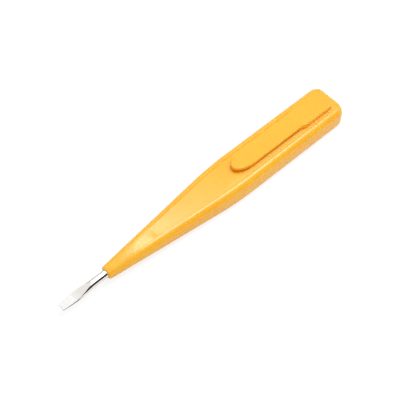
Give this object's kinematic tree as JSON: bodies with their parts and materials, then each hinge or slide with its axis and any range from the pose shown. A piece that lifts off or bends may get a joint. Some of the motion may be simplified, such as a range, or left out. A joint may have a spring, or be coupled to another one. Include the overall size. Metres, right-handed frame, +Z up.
{
  "type": "punch down tool",
  "caption": "Pocket punch down tool: flat tapering plastic body with a clip, a polished shank with a flat blade, and a spring and hammer mechanism inside.",
  "frame": {"origin": "centre of the tool's length and width, on the surface that it rests on", "axes": "+X along the tool from the blade's tip to the rear end, +Z up through the clip, +Y across"},
  "size_m": [0.14, 0.0176, 0.012],
  "materials": {
    "yellow_plastic": "moulded, smooth, softly glossy",
    "blade_steel": "polished nickel plate",
    "dark_steel": "machined and lightly oiled",
    "spring_steel": "drawn wire",
    "screw_steel": "zinc plated",
    "brass": "turned",
    "black_rubber": "matte"
  },
  "bodies": {
    "housing": {"body_shell": "yellow_plastic", "base_cover": "yellow_plastic", "cover_screws": "screw_steel", "clip_root": "yellow_plastic", "clip_screws": "screw_steel", "nose_bush": "brass", "buffer_ring": "black_rubber", "return_spring": "spring_steel", "spring_stop": "dark_steel", "trip_cam": "dark_steel", "main_spring": "spring_steel", "spring_seat": "dark_steel", "adjuster_screw": "screw_steel", "adjuster_nut": "brass"},
    "clip": {"clip_arm": "yellow_plastic"},
    "blade_unit": {"blade": "blade_steel", "blade_pin": "screw_steel", "blade_holder": "dark_steel", "trip_pin": "dark_steel"},
    "hammer": {"hammer": "dark_steel", "latch_spring": "spring_steel"},
    "latch": {"latch_plate": "dark_steel"}
  },
  "joints": [
    {"name": "clip_flex", "type": "hinge", "parent": "housing", "child": "clip", "pos_m": [0.0486, 0, 0.01125], "axis": [0, 1, 0], "range_deg": [0, 5]},
    {"name": "blade_slide", "type": "slide", "parent": "housing", "child": "blade_unit", "axis": [1, 0, 0], "range_m": [0, 0.006], "stiffness_N_per_m": 100, "springref_m": -0.002, "deforming": ["return_spring"]},
    {"name": "hammer_slide", "type": "slide", "parent": "housing", "child": "hammer", "axis": [1, 0, 0], "range_m": [0, 0.006], "deforming": ["main_spring"]},
    {"name": "latch_slide", "type": "slide", "parent": "hammer", "child": "latch", "axis": [0, 1, 0], "range_m": [0, 0.0012], "deforming": ["latch_spring"]}
  ],
  "couplings": [
    {"joint": "hammer_slide", "follows": "blade_slide", "ratio": 1},
    {"joint": "latch_slide", "follows": "blade_slide", "ratio": 0.2}
  ]
}
